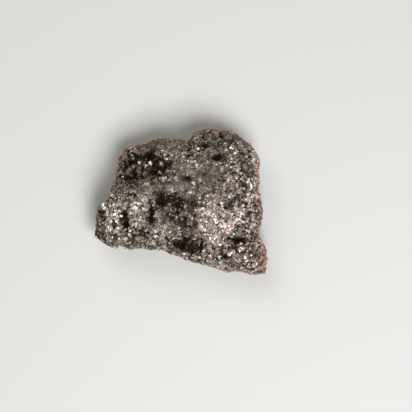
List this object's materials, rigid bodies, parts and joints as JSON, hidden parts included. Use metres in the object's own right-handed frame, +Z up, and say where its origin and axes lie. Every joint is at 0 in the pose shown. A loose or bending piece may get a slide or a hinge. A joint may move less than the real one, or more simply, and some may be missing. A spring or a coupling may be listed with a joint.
{
  "type": "pyrite specimen",
  "caption": "Palm-sized lump of massive granular pyrite with cubic crystals, pitted on its face and flat underneath.",
  "frame": {"origin": "on the flat break that the specimen rests on, under the middle of its outline", "axes": "+X along its length, towards the squarer end; +Y towards the edge with the notch; +Z up, out of the weathered, pitted face"},
  "size_m": [0.0774, 0.0656, 0.0305],
  "materials": {
    "pyrite": "granular iron sulphide with a dull metallic lustre, bright cube faces, dark pits and rusty tarnish round the rim"
  },
  "bodies": {
    "root": {"pyrite_specimen": "pyrite"}
  },
  "joints": []
}
